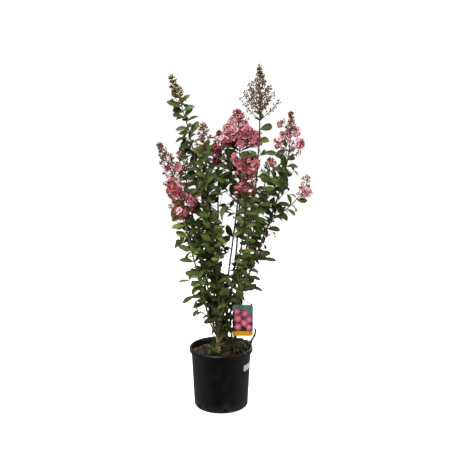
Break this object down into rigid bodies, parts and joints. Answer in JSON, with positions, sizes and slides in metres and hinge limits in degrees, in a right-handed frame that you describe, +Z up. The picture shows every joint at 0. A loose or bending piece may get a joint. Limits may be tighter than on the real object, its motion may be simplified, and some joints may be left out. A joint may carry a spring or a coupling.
{
  "type": "potted crape myrtle shrub",
  "caption": "Young crape myrtle shrub in flower: a slim trunk that parts low into long upright leafy canes, standing in a round black nursery pot with a hanging tag.",
  "frame": {"origin": "centre of the pot's flat underside, on the surface it stands on", "axes": "+Z up through the pot and the plant; the front, with the tag, faces -Y; +X to the right seen from the front"},
  "size_m": [0.6065, 0.5645, 1.344],
  "materials": {
    "pot_plastic": "black blow-moulded plastic with a soft sheen and dusty scuffs",
    "potting_mix": "damp composted bark with loose chips",
    "bark": "smooth tan bark that peels in long flakes",
    "twig": "young reddish brown bark",
    "dry_twig": "dull dry brown bark",
    "leaf": "dark green, half gloss, with a pale midrib",
    "petal": "pink crinkled petals",
    "bud": "round red-brown to olive buds",
    "printed_card": "printed plastic card with a soft gloss",
    "white_film": "plain white plastic film"
  },
  "bodies": {
    "root": {"pot": "pot_plastic", "soil": "potting_mix", "label": "white_film", "trunk": "bark", "bough_left_tall": "bark", "bough_right_tall": "bark", "bough_right": "bark", "bough_left": "bark", "bough_middle_left": "bark", "bough_centre": "bark", "bough_centre_back": "bark", "bough_front": "bark", "bough_front_left": "bark", "bough_back_left": "bark", "bough_back_right": "bark", "bough_back": "bark", "foliage_left_tall": "leaf", "foliage_right_tall": "leaf", "foliage_right": "leaf", "foliage_left": "leaf", "foliage_middle_left": "leaf", "foliage_centre": "leaf", "foliage_centre_back": "leaf", "foliage_front": "leaf", "foliage_front_left": "leaf", "foliage_back_left": "leaf", "foliage_back_right": "leaf", "foliage_back": "leaf", "foliage_low_left": "leaf", "foliage_low_front": "leaf", "foliage_low_right": "leaf", "foliage_low_back": "leaf", "foliage_inner_left": "leaf", "foliage_inner_front": "leaf", "foliage_inner_right": "leaf", "foliage_inner_back": "leaf", "dry_shoot_left": "dry_twig", "dry_shoot_right": "dry_twig", "tag": "printed_card", "tag_strap": "white_film"}
  },
  "joints": []
}
